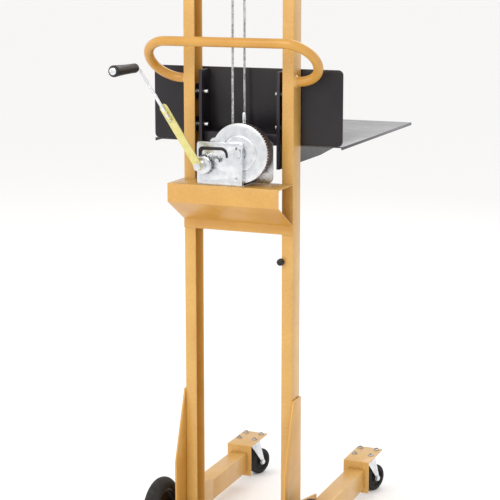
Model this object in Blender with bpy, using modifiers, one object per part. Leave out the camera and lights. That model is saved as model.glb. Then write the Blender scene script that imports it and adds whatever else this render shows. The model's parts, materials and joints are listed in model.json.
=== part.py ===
"""Hand-winch platform lift truck, modelled in metres with +Z up, +Y towards the platform and the legs.

The truck is a welded mast of two channels on a two-legged base. A carriage with a platform runs in the channels on
four rollers. A rope goes from the carriage over a sheave at the mast's head, and down to a geared hand winch on a
shelf behind the mast. The y values below are measured forwards from the mast's rear face, which lies MAST_Y behind
the middle of the truck's length.
"""

import math

import bmesh
import bpy

MAST_Y = -0.1855
GAP = 0.0003  # left between pieces that touch

# Mast: two channels, open inwards
UPRIGHT_OUTER = 0.147
UPRIGHT_WIDTH = 0.030
UPRIGHT_DEPTH = 0.050
CHANNEL_WALL = 0.004
UPRIGHT_FOOT = 0.036
UPRIGHT_TOP = 1.660
HEAD_HEIGHT = 0.040

# Base
SIDE_PLATE = 0.005
LEG_WIDTH = 0.050
LEG_LOW, LEG_HIGH = 0.040, 0.100
LEG_WALL = 0.003
LEG_REAR, LEG_FRONT = 0.058, 0.418
LEG_X = UPRIGHT_OUTER + SIDE_PLATE + 2 * GAP + LEG_WIDTH / 2
TOE_PLATE = 0.004
TOE_TOP = 0.120
TOE_WIDTH = 0.074
TOE_FRONT = 0.545

# Rear wheels
REAR_RADIUS = 0.085
REAR_WIDTH = 0.045
REAR_X = 0.205
AXLE_Y = -0.035
AXLE_RADIUS = 0.009
RIM_RADIUS = 0.056

# Front casters
CASTER_Y = 0.502
CASTER_TRAIL = 0.034
CASTER_YAW = math.radians(-22)
CASTER_RADIUS = 0.0375
CASTER_WIDTH = 0.025
FORK_HALF = 0.0165
FORK_TOP = 0.1111
PIN_RADIUS = 0.004

# Push handle: a D-shaped tube loop that slopes up and back from the uprights
HANDLE_TUBE = 0.012
HANDLE_END_Z = 1.212
HANDLE_END_Y = 0.014
HANDLE_BEND = 0.067
HANDLE_SLOPE = math.radians(43)

# Winch shelf: a bent sheet between the uprights' rear faces
SHELF_TOP = 0.960
SHELF_REACH = 0.098
SHELF_LIP = 0.046
SHELF_FOOT = 0.845
SHEET = 0.003

# Winch: drum and gear on one shaft, pinion and crank on the other
MODULE = 0.0022
GEAR_TEETH, PINION_TEETH = 65, 20
DRUM_X, DRUM_Z = 0.040, 1.041
MESH_ANGLE = math.radians(199.2)
SHAFT_SPACING = MODULE * (GEAR_TEETH + PINION_TEETH) / 2
CRANK_X = DRUM_X + SHAFT_SPACING * math.cos(MESH_ANGLE)
CRANK_Z = DRUM_Z + SHAFT_SPACING * math.sin(MESH_ANGLE)
SHAFT_RADIUS = 0.006
NEAR_PLATE_Y = -0.088
FAR_PLATE_Y = -0.012
WINCH_LEFT, WINCH_RIGHT = -0.070, 0.053
WINCH_TOP = 1.067
GEAR_Y, GEAR_THICK = -0.078, 0.008
DRUM_NEAR, DRUM_FAR = GEAR_Y + GEAR_THICK / 2 + GAP, -0.018
DRUM_CORE, DRUM_FLANGE = 0.024, 0.052
WRAP_RADIUS = 0.031

# Rope and sheave
ROPE_RADIUS = 0.003
ROPE_GAP = 0.0010  # between a straight run and the tilted end of the wrap
ROPE_X = DRUM_X - WRAP_RADIUS - ROPE_RADIUS - GAP
ROPE_REAR = -0.044
SHEAVE_GROOVE = 0.0365
SHEAVE_Z = 1.605
SHEAVE_Y = ROPE_REAR + SHEAVE_GROOVE
ROPE_FRONT = SHEAVE_Y + SHEAVE_GROOVE

# Crank
ARM_ANGLE = math.radians(123.5)
ARM_LENGTH = 0.280
BAR_LENGTH = 0.165
BAR_WIDTH, BAR_THICK = 0.020, 0.005
BAR_Y = -0.128
CRANK_ROD = 0.004
GRIP_NEAR, GRIP_FAR = -0.266, -0.150
GRIP_RADIUS = 0.0125

# Carriage
ARM_X = 0.104
ARM_THICK = 0.008
ARM_LOW, ARM_HIGH = 0.993, 1.232
BACK_Y = UPRIGHT_DEPTH + 0.0035
BACK_THICK = 0.004
BACK_TOP = 1.237
DECK_TOP = 1.0505
DECK_HALF = 0.254
DECK_FRONT = 0.640
DECK_LIP = 0.008
ROLLER_Z = (1.177, 1.095)
ROLLER_RADIUS = 0.0205
ROLLER_Y = UPRIGHT_DEPTH / 2
ROLLER_X = 0.1305
ROLLER_WIDTH = 0.020
ROLLER_PIN = 0.005
BEAM_LOW, BEAM_HIGH = 1.050, 1.078
BEAM_REAR = 0.018
ANCHOR_TOP = 1.128

SIDES = (("left", -1), ("right", 1))
PLANES = {"XY": (0, 0, 0), "XZ": (math.pi / 2, 0, 0), "YZ": (math.pi / 2, 0, math.pi / 2)}
AXES = {"X": (0, math.pi / 2, 0), "-X": (0, -math.pi / 2, 0), "Y": (-math.pi / 2, 0, 0), "Z": (0, 0, 0)}


def clear_scene():
    for obj in list(bpy.data.objects):
        bpy.data.objects.remove(obj, do_unlink=True)


def new_collection(name):
    collection = bpy.data.collections.new(name)
    bpy.context.scene.collection.children.link(collection)
    return collection


def new_material(name, colour, roughness, metallic):
    mat = bpy.data.materials.new(name)
    mat.use_nodes = True
    shader = mat.node_tree.nodes["Principled BSDF"]
    shader.inputs["Base Color"].default_value = (*colour, 1)
    shader.inputs["Roughness"].default_value = roughness
    shader.inputs["Metallic"].default_value = metallic
    return mat


clear_scene()
PARTS = new_collection("platform_lift_truck")
CUTTERS = new_collection("cutters")

FINISHES = {
    "yellow": ((0.72, 0.42, 0.10), 0.45, 0.0),
    "black": ((0.03, 0.03, 0.035), 0.4, 0.0),
    "zinc": ((0.62, 0.63, 0.64), 0.35, 1.0),
    "passivated": ((0.60, 0.58, 0.22), 0.45, 0.6),
    "steel": ((0.45, 0.46, 0.47), 0.35, 1.0),
    "rubber": ((0.02, 0.02, 0.02), 0.8, 0.0),
    "plastic": ((0.025, 0.025, 0.025), 0.5, 0.0),
}


def empty(name, location, parent=None, yaw=0.0):
    obj = bpy.data.objects.new(name, None)
    obj.location = location
    obj.rotation_euler = (0, 0, yaw)
    obj.parent = parent
    PARTS.objects.link(obj)
    return obj


MAST = empty("mast_rear_face", (0, MAST_Y, 0))


def place(name, data, location, rotation, finish, parent=None):
    """Make the object of a sub-part, with its own material, in the truck's frame or under a moving empty."""
    obj = bpy.data.objects.new(name, data)
    obj.location = location
    obj.rotation_euler = rotation
    obj.parent = parent or MAST
    data.materials.append(new_material(name, *FINISHES[finish]))
    PARTS.objects.link(obj)
    return obj


def mesh_of(name, bm, smooth=False):
    mesh = bpy.data.meshes.new(name)
    bm.to_mesh(mesh)
    bm.free()
    if smooth:
        mesh.shade_smooth()
        mesh.set_sharp_from_angle(angle=math.radians(40))
    return mesh


def block(name, low, high, finish, parent=None):
    """A box between two corners."""
    bm = bmesh.new()
    bmesh.ops.create_cube(bm, size=1)
    bmesh.ops.scale(bm, vec=[h - l for l, h in zip(low, high)], verts=bm.verts)
    centre = [(l + h) / 2 for l, h in zip(low, high)]
    return place(name, mesh_of(name, bm), centre, (0, 0, 0), finish, parent)


def rod(name, radius, length, centre, axis, finish, parent=None, segments=20):
    """A round bar about one of the axes."""
    bm = bmesh.new()
    bmesh.ops.create_cone(bm, cap_ends=True, segments=segments, radius1=radius, radius2=radius, depth=length)
    return place(name, mesh_of(name, bm, True), centre, AXES[axis], finish, parent)


def turned(name, profile, centre, axis, finish, parent=None, steps=28):
    """A closed profile of (radius, height) points, outer side from top to bottom, turned about an axis."""
    bm = bmesh.new()
    verts = [bm.verts.new((radius, 0, height)) for radius, height in profile]
    for start, end in zip(verts, verts[1:] + verts[:1]):
        bm.edges.new((start, end))
    obj = place(name, mesh_of(name, bm), centre, AXES[axis], finish, parent)
    screw = obj.modifiers.new("turn", "SCREW")
    screw.steps = steps
    screw.render_steps = steps
    screw.use_merge_vertices = True
    screw.merge_threshold = 0.00001
    screw.use_smooth_shade = False
    return obj


def ring(name, outer, inner, low, high, centre, axis, finish, parent=None, steps=28, chamfer=0.0):
    """A turned ring between two heights on its axis, with optional chamfers on its outer corners."""
    profile = [(outer - chamfer, high), (outer, high - chamfer), (outer, low + chamfer), (outer - chamfer, low)]
    if not chamfer:
        profile = [(outer, high), (outer, low)]
    return turned(name, profile + [(inner, low), (inner, high)], centre, axis, finish, parent, steps)


def circle(x, y, radius, count=16):
    return [(x + radius * math.cos(2 * math.pi * i / count), y + radius * math.sin(2 * math.pi * i / count))
            for i in range(count)]


def rounded(x0, y0, x1, y1, radius, count=6):
    """A rectangle's outline with rounded corners."""
    points = []
    corners = ((x1 - radius, y1 - radius, 0), (x0 + radius, y1 - radius, 90),
               (x0 + radius, y0 + radius, 180), (x1 - radius, y0 + radius, 270))
    for cx, cy, start in corners:
        for i in range(count + 1):
            angle = math.radians(start + 90 * i / count)
            points.append((cx + radius * math.cos(angle), cy + radius * math.sin(angle)))
    return points


def slab(name, outlines, thickness, plane, centre, finish, parent=None):
    """A flat outline with its holes, given thickness on both sides of its plane."""
    curve = bpy.data.curves.new(name, "CURVE")
    curve.dimensions = "2D"
    curve.fill_mode = "BOTH"
    curve.extrude = thickness / 2
    for outline in outlines:
        spline = curve.splines.new("POLY")
        spline.points.add(len(outline) - 1)
        for point, (x, y) in zip(spline.points, outline):
            point.co = (x, y, 0, 1)
        spline.use_cyclic_u = True
    return place(name, curve, centre, PLANES[plane], finish, parent)


def tube(name, route, radius, finish, parent=None, resolution=2):
    """A round bar along a route of points."""
    curve = bpy.data.curves.new(name, "CURVE")
    curve.dimensions = "3D"
    curve.bevel_depth = radius
    curve.bevel_resolution = resolution
    curve.use_fill_caps = True
    spline = curve.splines.new("POLY")
    spline.points.add(len(route) - 1)
    for point, (x, y, z) in zip(spline.points, route):
        point.co = (x, y, z, 1)
    return place(name, curve, (0, 0, 0), (0, 0, 0), finish, parent)


def folded(name, section, x0, x1, thickness, finish, parent=None, plane="YZ"):
    """A sheet bent along a section, as wide as from x0 to x1, with its thickness on both sides of the section."""
    bm = bmesh.new()
    rows = []
    for across in (x0, x1):
        if plane == "YZ":
            rows.append([bm.verts.new((across, u, v)) for u, v in section])
        else:
            rows.append([bm.verts.new((u, across, v)) for u, v in section])
    for i in range(len(section) - 1):
        bm.faces.new((rows[0][i], rows[0][i + 1], rows[1][i + 1], rows[1][i]))
    bmesh.ops.recalc_face_normals(bm, faces=bm.faces)
    obj = place(name, mesh_of(name, bm), (0, 0, 0), (0, 0, 0), finish, parent)
    solidify = obj.modifiers.new("sheet", "SOLIDIFY")
    solidify.thickness = thickness
    solidify.offset = 0
    solidify.use_even_offset = True
    return obj


def drill(obj, radius, length, centre, axis, parent=None):
    """Cut a round hole through a sub-part."""
    name = f"{obj.name}_hole_{len(obj.modifiers)}"
    bm = bmesh.new()
    bmesh.ops.create_cone(bm, cap_ends=True, segments=16, radius1=radius, radius2=radius, depth=length)
    cutter = bpy.data.objects.new(name, mesh_of(name, bm))
    cutter.location = centre
    cutter.rotation_euler = AXES[axis]
    cutter.parent = parent or MAST
    cutter.hide_render = True
    cutter.display_type = "WIRE"
    CUTTERS.objects.link(cutter)
    cut = obj.modifiers.new(name, "BOOLEAN")
    cut.operation = "DIFFERENCE"
    cut.object = cutter


def upright(side, sign):
    outer, inner = sign * UPRIGHT_OUTER, sign * (UPRIGHT_OUTER - UPRIGHT_WIDTH)
    web = sign * (UPRIGHT_OUTER - CHANNEL_WALL)
    section = [(outer, 0), (outer, UPRIGHT_DEPTH), (inner, UPRIGHT_DEPTH), (inner, UPRIGHT_DEPTH - CHANNEL_WALL),
               (web, UPRIGHT_DEPTH - CHANNEL_WALL), (web, CHANNEL_WALL), (inner, CHANNEL_WALL), (inner, 0)]
    centre = (0, 0, (UPRIGHT_FOOT + UPRIGHT_TOP) / 2)
    slab(f"{side}_upright", [section], UPRIGHT_TOP - UPRIGHT_FOOT, "XY", centre, "yellow")


def side_plate(side, sign):
    """The gusset that ties the upright, the leg and the rear axle together."""
    outline = [(0, 0.410), (-0.058, 0.230), (-0.058, 0.035), (0.170, 0.035), (0.170, 0.108),
               (UPRIGHT_DEPTH, 0.130), (UPRIGHT_DEPTH, 0.410)]
    hole = circle(AXLE_Y, REAR_RADIUS, AXLE_RADIUS + GAP)
    centre = (sign * (UPRIGHT_OUTER + GAP + SIDE_PLATE / 2), 0, 0)
    slab(f"{side}_side_plate", [outline, hole], SIDE_PLATE, "YZ", centre, "yellow")


def leg(side, sign):
    x0, x1 = sign * LEG_X - LEG_WIDTH / 2, sign * LEG_X + LEG_WIDTH / 2
    outer = rounded(x0, LEG_LOW, x1, LEG_HIGH, 0.005, 3)
    inner = rounded(x0 + LEG_WALL, LEG_LOW + LEG_WALL, x1 - LEG_WALL, LEG_HIGH - LEG_WALL, 0.002, 3)
    centre = (0, (LEG_REAR + LEG_FRONT) / 2, 0)
    slab(f"{side}_leg", [outer, inner], LEG_FRONT - LEG_REAR, "XZ", centre, "yellow")
    toe_y = LEG_FRONT + GAP + TOE_PLATE / 2
    section = [(toe_y, 0.030), (toe_y, TOE_TOP - TOE_PLATE / 2), (TOE_FRONT, TOE_TOP - TOE_PLATE / 2)]
    x0, x1 = sign * LEG_X - TOE_WIDTH / 2, sign * LEG_X + TOE_WIDTH / 2
    folded(f"{side}_toe_bracket", section, x0, x1, TOE_PLATE, "yellow")


def rear_wheel(side, sign):
    centre = (sign * REAR_X, AXLE_Y, REAR_RADIUS)
    half = REAR_WIDTH / 2
    crown = [(REAR_RADIUS - half + half * math.cos(a), half * math.sin(a))
             for a in [math.radians(60 - 30 * i) for i in range(5)]]
    profile = crown + [(RIM_RADIUS + GAP, -half + 0.003), (RIM_RADIUS + GAP, half - 0.003)]
    turned(f"{side}_rear_tyre", profile, centre, "X", "rubber", steps=28)
    boss = UPRIGHT_OUTER + SIDE_PLATE + 2 * GAP - REAR_X
    hub = [(0.020, half), (0.020, 0.006), (RIM_RADIUS - 0.006, 0.006), (RIM_RADIUS - 0.006, half - 0.006),
           (RIM_RADIUS, half - 0.006), (RIM_RADIUS, 0.006 - half), (RIM_RADIUS - 0.006, 0.006 - half),
           (RIM_RADIUS - 0.006, -0.006), (0.018, -0.006), (0.018, boss),
           (AXLE_RADIUS + GAP, boss), (AXLE_RADIUS + GAP, half)]
    turned(f"{side}_rear_hub", hub, centre, "X" if sign > 0 else "-X", "black", steps=28)


def caster(side, sign):
    top = TOE_TOP - TOE_PLATE - GAP
    centre = (sign * LEG_X, CASTER_Y, 0)
    block(f"{side}_caster_plate", (centre[0] - 0.032, CASTER_Y - 0.032, top - 0.003),
          (centre[0] + 0.032, CASTER_Y + 0.032, top), "zinc")
    swivel = empty(f"{side}_caster_swivel", centre, MAST, CASTER_YAW)
    section = [(-FORK_HALF, 0.028), (-FORK_HALF, FORK_TOP), (FORK_HALF, FORK_TOP), (FORK_HALF, 0.028)]
    fork = folded(f"{side}_caster_fork", section, -0.016, CASTER_TRAIL + 0.012, 0.0025, "zinc", swivel, "XZ")
    axle = (0, CASTER_TRAIL, CASTER_RADIUS)
    drill(fork, PIN_RADIUS + GAP, 0.06, axle, "X", swivel)
    rod(f"{side}_caster_axle", PIN_RADIUS, 0.044, axle, "X", "steel", swivel)
    half = CASTER_WIDTH / 2
    ring(f"{side}_front_wheel", CASTER_RADIUS, PIN_RADIUS + GAP, -half, half, axle, "X", "rubber", swivel,
         chamfer=0.003)


def push_handle():
    """Half circles at both ends of a straight bar, in a plane that slopes up to the rear."""
    route = []
    end = UPRIGHT_OUTER + GAP
    for sign in (-1, 1):
        arc = []
        for i in range(13):
            angle = math.pi * i / 12
            out = end + 0.006 + HANDLE_BEND * math.sin(angle)
            along = HANDLE_BEND * (1 - math.cos(angle))
            arc.append((sign * out, HANDLE_END_Y - along * math.cos(HANDLE_SLOPE),
                        HANDLE_END_Z + along * math.sin(HANDLE_SLOPE)))
        stub = [(sign * end, HANDLE_END_Y, HANDLE_END_Z)]
        route += stub + arc if sign < 0 else list(reversed(stub + arc))
    tube("push_handle", route, HANDLE_TUBE, "yellow", resolution=3)


def frame():
    for side, sign in SIDES:
        upright(side, sign)
        side_plate(side, sign)
        leg(side, sign)
        rear_wheel(side, sign)
        caster(side, sign)
    block("head_crossbar", (-UPRIGHT_OUTER, 0, UPRIGHT_TOP + GAP),
          (UPRIGHT_OUTER, UPRIGHT_DEPTH, UPRIGHT_TOP + HEAD_HEIGHT), "yellow")
    block("base_crossmember", (-UPRIGHT_OUTER, LEG_REAR, LEG_LOW), (UPRIGHT_OUTER, 0.100, 0.070), "yellow")
    rod("rear_axle", AXLE_RADIUS, 0.470, (0, AXLE_Y, REAR_RADIUS), "X", "steel")
    push_handle()
    rear = -GAP - SHEET / 2
    mid = SHEET / 2
    section = [(rear, SHELF_TOP - mid), (mid - SHELF_REACH, SHELF_TOP - mid),
               (mid - SHELF_REACH, SHELF_TOP - SHELF_LIP), (rear, SHELF_FOOT + 0.012), (rear, SHELF_FOOT - 0.012)]
    folded("winch_shelf", section, -UPRIGHT_OUTER, UPRIGHT_OUTER, SHEET, "yellow")
    turned("stop_knob", [(0.004, 0.014), (0.008, 0.012), (0.009, 0.006), (0.008, 0), (0.002, 0), (0.002, 0.014)],
           (UPRIGHT_OUTER - UPRIGHT_WIDTH, -0.014 - GAP, 0.765), "Y", "plastic", steps=24)


def toothed(teeth, phase):
    """A spur gear's outline, with one tooth's middle at the phase angle."""
    pitch = MODULE * teeth / 2
    tip, root = pitch + 0.7 * MODULE, pitch - 0.95 * MODULE
    step = 2 * math.pi / teeth
    corners = ((root, -0.26), (tip, -0.11), (tip, 0.11), (root, 0.26))
    points = []
    for i in range(teeth):
        for radius, share in corners:
            angle = phase + step * (i + share)
            points.append((radius * math.cos(angle), radius * math.sin(angle)))
    return points


def ratchet(teeth, tip, root):
    points = []
    for i in range(teeth):
        angle = 2 * math.pi * i / teeth
        points += [(tip * math.cos(angle), tip * math.sin(angle)),
                   (root * math.cos(angle + 0.04), root * math.sin(angle + 0.04))]
    return points


def bar_outline(start, end, half, angle):
    """A flat bar's outline with round ends, between two distances along a direction."""
    points = []
    for centre, turn in ((end, -90), (start, 90)):
        for i in range(9):
            a = math.radians(turn + 180 * i / 8)
            u, v = centre + half * math.cos(a), half * math.sin(a)
            points.append((u * math.cos(angle) - v * math.sin(angle), u * math.sin(angle) + v * math.cos(angle)))
    return points


def winch_frame():
    base = SHELF_TOP + GAP + SHEET / 2
    section = [(NEAR_PLATE_Y, WINCH_TOP), (NEAR_PLATE_Y, base), (FAR_PLATE_Y, base), (FAR_PLATE_Y, WINCH_TOP)]
    bracket = folded("winch_bracket", section, WINCH_LEFT, WINCH_RIGHT, SHEET, "zinc")
    middle = (NEAR_PLATE_Y + FAR_PLATE_Y) / 2
    drill(bracket, SHAFT_RADIUS + GAP, 0.12, (DRUM_X, middle, DRUM_Z), "Y")
    drill(bracket, SHAFT_RADIUS + GAP, 0.12, (CRANK_X, middle, CRANK_Z), "Y")
    drill(bracket, 0.003 + GAP, 0.03, (CRANK_X + 0.036, NEAR_PLATE_Y, CRANK_Z + 0.012), "Y")
    rod("drum_shaft", SHAFT_RADIUS, 0.092, (DRUM_X, middle, DRUM_Z), "Y", "steel")
    rod("pawl_pin", 0.003, 0.016, (CRANK_X + 0.036, NEAR_PLATE_Y - 0.004, CRANK_Z + 0.012), "Y", "steel")


def winch_drum():
    centre = (DRUM_X, 0, DRUM_Z)
    bore = SHAFT_RADIUS + GAP
    near, far = DRUM_NEAR, DRUM_FAR
    profile = [(bore, far), (DRUM_FLANGE, far), (DRUM_FLANGE, far - 0.002), (DRUM_CORE, far - 0.002),
               (DRUM_CORE, near + 0.002), (DRUM_FLANGE, near + 0.002), (DRUM_FLANGE, near), (bore, near)]
    turned("winch_drum", profile, centre, "Y", "zinc")
    ring("rope_wraps", WRAP_RADIUS, DRUM_CORE + GAP, near + 0.002 + GAP, far - 0.002 - GAP, centre, "Y", "steel")
    gear = toothed(GEAR_TEETH, MESH_ANGLE)
    slab("main_gear", [gear, circle(0, 0, bore)], GEAR_THICK, "XZ", (DRUM_X, GEAR_Y, DRUM_Z), "zinc")


def crank():
    axis = empty("crank_axis", (CRANK_X, 0, CRANK_Z), MAST)
    bore = SHAFT_RADIUS + GAP
    rod("crank_shaft", SHAFT_RADIUS, 0.120, (0, -0.066, 0), "Y", "steel", axis)
    gap_phase = MESH_ANGLE + math.pi + math.pi / PINION_TEETH
    slab("pinion", [toothed(PINION_TEETH, gap_phase), circle(0, 0, bore)], 0.010, "XZ", (0, GEAR_Y, 0),
         "steel", axis)
    slab("ratchet_wheel", [ratchet(16, 0.024, 0.020), circle(0, 0, bore)], 0.005, "XZ", (0, -0.0945, 0),
         "steel", axis)
    brake = [(0.019, -0.0973), (0.021, -0.0993), (0.021, -0.1085), (0.019, -0.1105), (0.012, -0.1105),
             (0.012, -0.1252), (bore, -0.1252), (bore, -0.0973)]
    turned("brake_hub", brake, (0, 0, 0), "Y", "zinc", axis)
    bar = [bar_outline(0, BAR_LENGTH, BAR_WIDTH / 2, ARM_ANGLE), circle(0, 0, bore)]
    slab("crank_bar", bar, BAR_THICK, "XZ", (0, BAR_Y, 0), "passivated", axis)
    across, up = math.cos(ARM_ANGLE), math.sin(ARM_ANGLE)
    y = BAR_Y - BAR_THICK / 2 - GAP - CRANK_ROD
    bend = 0.010
    route = [(0.060 * across, y, 0.060 * up)]
    for i in range(7):
        a = math.radians(15 * i)
        reach = ARM_LENGTH - bend + bend * math.sin(a)
        route.append((reach * across, y - bend + bend * math.cos(a), reach * up))
    route.append((ARM_LENGTH * across, GRIP_NEAR - 0.003, ARM_LENGTH * up))
    tube("crank_rod", route, CRANK_ROD, "zinc", axis)
    grip = (ARM_LENGTH * across, 0, ARM_LENGTH * up)
    hole = CRANK_ROD + GAP
    profile = [(GRIP_RADIUS - 0.003, GRIP_FAR), (GRIP_RADIUS - 0.001, GRIP_FAR - 0.004),
               (GRIP_RADIUS - 0.001, GRIP_FAR - 0.080), (GRIP_RADIUS + 0.002, GRIP_NEAR + 0.010),
               (GRIP_RADIUS, GRIP_NEAR), (hole, GRIP_NEAR), (hole, GRIP_FAR)]
    turned("crank_grip", profile, grip, "Y", "plastic", axis, steps=24)


def pawl():
    pivot = (CRANK_X + 0.036, -0.0945, CRANK_Z + 0.012)
    axis = empty("pawl_axis", pivot, MAST)
    outline = [(0.006, -0.004), (0.007, 0.006), (-0.004, 0.009), (-0.0175, 0.004), (-0.006, -0.004)]
    slab("pawl", [outline, circle(0, 0, 0.003 + GAP, 16)], 0.005, "XZ", (0, 0, 0), "steel", axis)


def sheave():
    centre = (ROPE_X, SHEAVE_Y, SHEAVE_Z)
    groove, rim, half = SHEAVE_GROOVE - ROPE_RADIUS - GAP, SHEAVE_GROOVE + 0.006, 0.008
    profile = [(rim, half), (rim, half - 0.0015), (groove, ROPE_RADIUS + GAP), (groove, -ROPE_RADIUS - GAP),
               (rim, 0.0015 - half), (rim, -half), (0.006 + GAP, -half), (0.006 + GAP, half)]
    turned("sheave", profile, centre, "X", "black", steps=28)
    rod("sheave_axle", 0.006, 0.040, centre, "X", "steel")
    top = UPRIGHT_TOP - SHEET / 2
    section = [(ROPE_X - 0.012, SHEAVE_Z - 0.018), (ROPE_X - 0.012, top), (ROPE_X + 0.012, top),
               (ROPE_X + 0.012, SHEAVE_Z - 0.018)]
    bracket = folded("sheave_bracket", section, SHEAVE_Y - 0.016, SHEAVE_Y + 0.032, SHEET, "yellow", None, "XZ")
    drill(bracket, 0.006 + GAP, 0.06, centre, "X")


def rope():
    """The drum's run, the wrap over the sheave and the carriage's run, which meet end to end."""
    tube("drum_rope", [(ROPE_X, ROPE_REAR, DRUM_Z), (ROPE_X, ROPE_REAR, SHEAVE_Z - ROPE_GAP)], ROPE_RADIUS, "steel")
    wrap = []
    for i in range(13):
        a = math.pi * i / 12
        wrap.append((ROPE_X, SHEAVE_Y - SHEAVE_GROOVE * math.cos(a), SHEAVE_Z + SHEAVE_GROOVE * math.sin(a)))
    tube("sheave_rope", wrap, ROPE_RADIUS, "steel")
    tube("carriage_rope", [(ROPE_X, ROPE_FRONT, ANCHOR_TOP + GAP), (ROPE_X, ROPE_FRONT, SHEAVE_Z - ROPE_GAP)],
         ROPE_RADIUS, "steel")


def carriage_arm(side, sign):
    rear, face = 0.006, BACK_Y - GAP
    under = DECK_TOP - SHEET - GAP
    outline = [(rear, ARM_LOW), (0.300, ARM_LOW), (0.600, ARM_LOW + 0.020), (0.600, under), (face, under),
               (face, ARM_HIGH), (rear, ARM_HIGH)]
    holes = [circle(ROLLER_Y, z, ROLLER_PIN + GAP, 20) for z in ROLLER_Z]
    slab(f"{side}_carriage_arm", [outline] + holes, ARM_THICK, "YZ", (sign * ARM_X, 0, 0), "black")
    for level, z in zip(("upper", "lower"), ROLLER_Z):
        centre = (sign * ROLLER_X, ROLLER_Y, z)
        ring(f"{side}_{level}_roller", ROLLER_RADIUS, ROLLER_PIN + GAP, -ROLLER_WIDTH / 2, ROLLER_WIDTH / 2,
             centre, "X", "steel", steps=24, chamfer=0.001)
        inner, outer = ARM_X - ARM_THICK / 2, ROLLER_X + ROLLER_WIDTH / 2
        head = 0.009
        length = outer - inner + head
        rod(f"{side}_{level}_roller_pin", ROLLER_PIN, length,
            (sign * (inner - head + length / 2), ROLLER_Y, z), "X", "zinc")



def carriage():
    for side, sign in SIDES:
        carriage_arm(side, sign)
    outline = rounded(-DECK_HALF, DECK_TOP + GAP, DECK_HALF, BACK_TOP, 0.012)
    slab("back_plate", [outline], BACK_THICK, "XZ", (0, BACK_Y + BACK_THICK / 2, 0), "black")
    bm = bmesh.new()
    bmesh.ops.create_cube(bm, size=1)
    bmesh.ops.scale(bm, vec=(2 * DECK_HALF, DECK_FRONT - BACK_Y, DECK_LIP), verts=bm.verts)
    open_sides = [face for face in bm.faces if face.normal.z < -0.5 or face.normal.y < -0.5]
    bmesh.ops.delete(bm, geom=open_sides, context="FACES")
    centre = (0, (BACK_Y + DECK_FRONT) / 2, DECK_TOP - DECK_LIP / 2)
    deck = place("platform", mesh_of("platform", bm), centre, (0, 0, 0), "black")
    solidify = deck.modifiers.new("sheet", "SOLIDIFY")
    solidify.thickness = SHEET
    solidify.offset = -1
    solidify.use_even_offset = True
    reach = ARM_X - ARM_THICK / 2 - GAP
    block("carriage_beam", (-reach, BEAM_REAR, BEAM_LOW), (reach, BACK_Y - GAP, BEAM_HIGH), "black")
    turned("rope_anchor", [(0.0045, ANCHOR_TOP), (0.006, ANCHOR_TOP - 0.006), (0.006, BEAM_HIGH + 0.016),
                           (0.009, BEAM_HIGH + 0.012), (0.009, BEAM_HIGH + GAP), (0.001, BEAM_HIGH + GAP),
                           (0.001, ANCHOR_TOP)], (ROPE_X, ROPE_FRONT, 0), "Z", "zinc", steps=24)


frame()
winch_frame()
winch_drum()
crank()
pawl()
sheave()
rope()
carriage()
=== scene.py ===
# %% [markdown]
# # A hand-winch platform lift truck
#
# The truck is welded steel: two channels make a mast, and a carriage with a platform climbs in them on
# rollers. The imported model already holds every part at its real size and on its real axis. This lesson
# gives the parts their finished surfaces: rounded edges, smooth turned shapes, twisted rope, bolts and
# paint.

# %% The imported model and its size
import json
import math

import bmesh
import bpy
from mathutils import Matrix, Vector


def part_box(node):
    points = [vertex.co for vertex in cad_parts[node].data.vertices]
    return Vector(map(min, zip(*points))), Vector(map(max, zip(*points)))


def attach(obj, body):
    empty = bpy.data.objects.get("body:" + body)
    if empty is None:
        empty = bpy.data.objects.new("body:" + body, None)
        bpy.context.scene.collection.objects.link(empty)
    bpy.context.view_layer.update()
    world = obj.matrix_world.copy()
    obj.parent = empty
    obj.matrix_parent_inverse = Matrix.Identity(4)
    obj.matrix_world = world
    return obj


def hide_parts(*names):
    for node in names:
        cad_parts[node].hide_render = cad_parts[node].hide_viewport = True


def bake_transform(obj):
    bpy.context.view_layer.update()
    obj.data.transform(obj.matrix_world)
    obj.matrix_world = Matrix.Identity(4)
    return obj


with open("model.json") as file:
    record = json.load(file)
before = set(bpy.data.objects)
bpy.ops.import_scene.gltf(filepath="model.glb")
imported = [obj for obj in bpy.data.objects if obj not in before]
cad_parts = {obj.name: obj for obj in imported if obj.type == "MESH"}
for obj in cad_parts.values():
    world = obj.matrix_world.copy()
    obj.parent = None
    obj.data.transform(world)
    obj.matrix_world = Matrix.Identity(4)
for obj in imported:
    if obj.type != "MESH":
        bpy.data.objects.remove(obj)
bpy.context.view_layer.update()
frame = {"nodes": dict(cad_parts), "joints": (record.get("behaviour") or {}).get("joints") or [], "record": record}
nodes = frame["nodes"]
SIDES = (("left", -1), ("right", 1))
MM = 0.001
scene = bpy.context.scene

# %% [markdown]
# ## Colour and one node helper
#
# Colours are written as they look on a screen, in sRGB hex, but shaders work in linear light. One function
# converts them. Another adds a node with its settings and links, so that a material reads like a short
# recipe.


# %% Colour and node helpers
def linear(hex_colour):
    channels = [int(hex_colour[i:i + 2], 16) / 255 for i in (1, 3, 5)]
    return [c / 12.92 if c <= 0.04045 else ((c + 0.055) / 1.055) ** 2.4 for c in channels] + [1.0]


def add(tree, kind, links=None, **settings):
    """Add a node: settings name attributes or, with a leading in_, input sockets; links feed its inputs."""
    node = tree.nodes.new(kind)
    for key, value in settings.items():
        if key.startswith("in_"):
            node.inputs[key[3:].replace("_", " ")].default_value = value
        else:
            setattr(node, key, value)
    for socket, source in (links or {}).items():
        tree.links.new(source, node.inputs[socket])
    return node


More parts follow.
